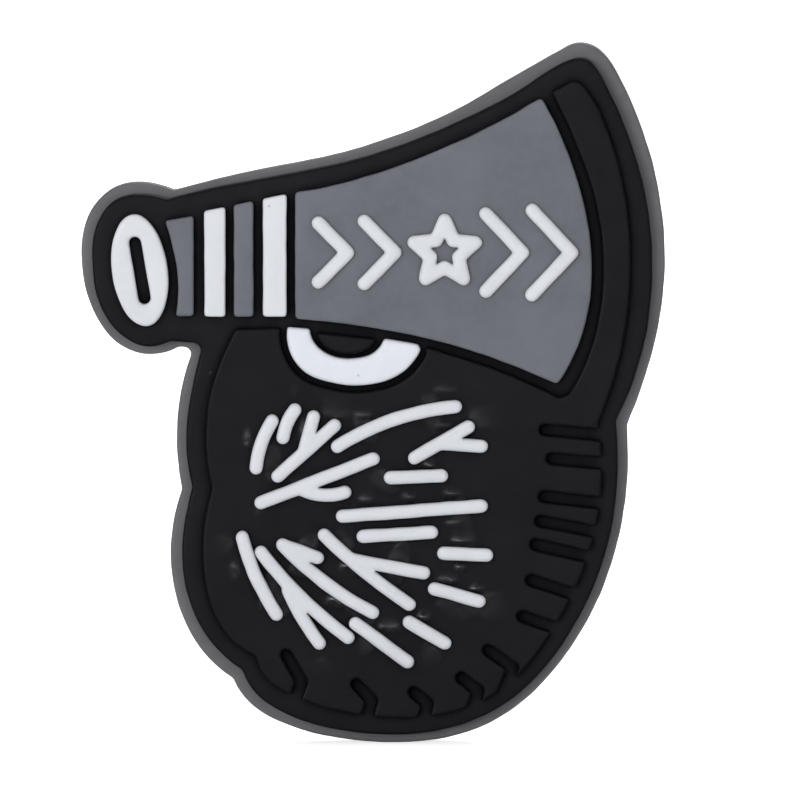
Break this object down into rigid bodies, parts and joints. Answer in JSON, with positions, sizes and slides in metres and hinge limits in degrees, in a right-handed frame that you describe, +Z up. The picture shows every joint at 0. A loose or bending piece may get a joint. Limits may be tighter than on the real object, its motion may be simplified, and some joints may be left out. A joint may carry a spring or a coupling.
{
  "type": "shoe charm",
  "caption": "Flat soft PVC shoe charm in the shape of a cheer megaphone over a pom-pom, with a snap-in plug on its back.",
  "frame": {"origin": "where the plug's axis meets the charm's back face", "axes": "+Y out of the back face, along the plug; the front faces -Y; +Z up the picture, along the charm's height; +X towards the bell's mouth"},
  "size_m": [0.0315, 0.0093, 0.0379],
  "materials": {
    "base_grey_pvc": "satin",
    "black_pvc": "satin",
    "panel_grey_pvc": "satin",
    "white_pvc": "satin"
  },
  "bodies": {
    "root": {"base_plate": "base_grey_pvc", "bell_panel": "panel_grey_pvc", "black_body": "black_pvc", "emblem_chevron_1": "white_pvc", "emblem_chevron_2": "white_pvc", "emblem_chevron_3": "white_pvc", "emblem_chevron_4": "white_pvc", "emblem_star": "white_pvc", "handle_loop": "white_pvc", "mouthpiece_ring": "white_pvc", "neck_band_grey_1": "panel_grey_pvc", "neck_band_grey_2": "panel_grey_pvc", "neck_band_white_1": "white_pvc", "neck_band_white_2": "white_pvc", "shoe_plug": "black_pvc", "streamer_bottom_bar": "white_pvc", "streamer_centre_fork": "white_pvc", "streamer_far_left": "white_pvc", "streamer_left_fork": "white_pvc", "streamer_left_inner": "white_pvc", "streamer_left_outer": "white_pvc", "streamer_long_bar": "white_pvc", "streamer_long_fork": "white_pvc", "streamer_low_dash": "white_pvc", "streamer_lower_dash": "white_pvc", "streamer_middle_dash": "white_pvc", "streamer_middle_fork": "white_pvc", "streamer_right_dash": "white_pvc", "streamer_right_fork": "white_pvc", "streamer_top_arc": "white_pvc", "streamer_upper_dash": "white_pvc", "streamer_wedge_fork": "white_pvc"}
  },
  "joints": []
}
